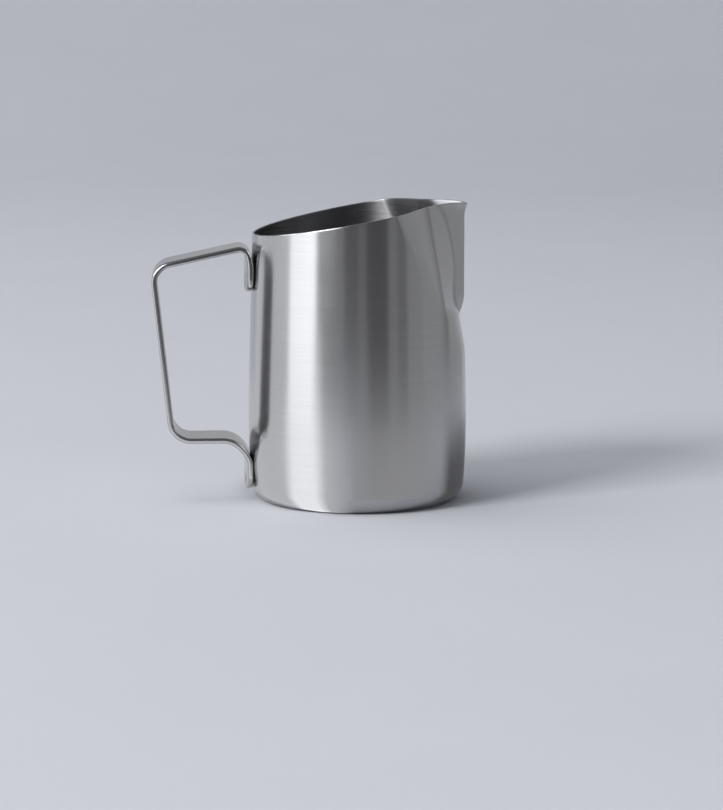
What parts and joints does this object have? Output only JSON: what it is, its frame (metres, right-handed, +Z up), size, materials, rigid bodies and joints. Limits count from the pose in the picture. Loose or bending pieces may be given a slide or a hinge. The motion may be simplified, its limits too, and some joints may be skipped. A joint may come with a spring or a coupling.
{
  "type": "milk frothing pitcher",
  "caption": "Straight-sided steel milk frothing pitcher with a sloping rim, a folded pouring beak and a bent flat strap handle spot welded to the side.",
  "frame": {"origin": "centre of the flat base, on the surface that the pitcher stands on", "axes": "+Z up, +X from the handle towards the pouring spout, +Y to the left of the spout"},
  "size_m": [0.1269, 0.088, 0.1201],
  "materials": {
    "brushed_body": "stainless steel, fine brushing around the axis",
    "polished_strap": "stainless steel strip, fine brushing along its length, edges tumbled smooth",
    "weld_mark": "slightly darkened, pressed spot weld"
  },
  "bodies": {
    "root": {"pitcher_body": "brushed_body", "handle_strap": "polished_strap", "spot_weld_upper_front": "weld_mark", "spot_weld_upper_rear": "weld_mark", "spot_weld_lower_front": "weld_mark", "spot_weld_lower_rear": "weld_mark"}
  },
  "joints": []
}
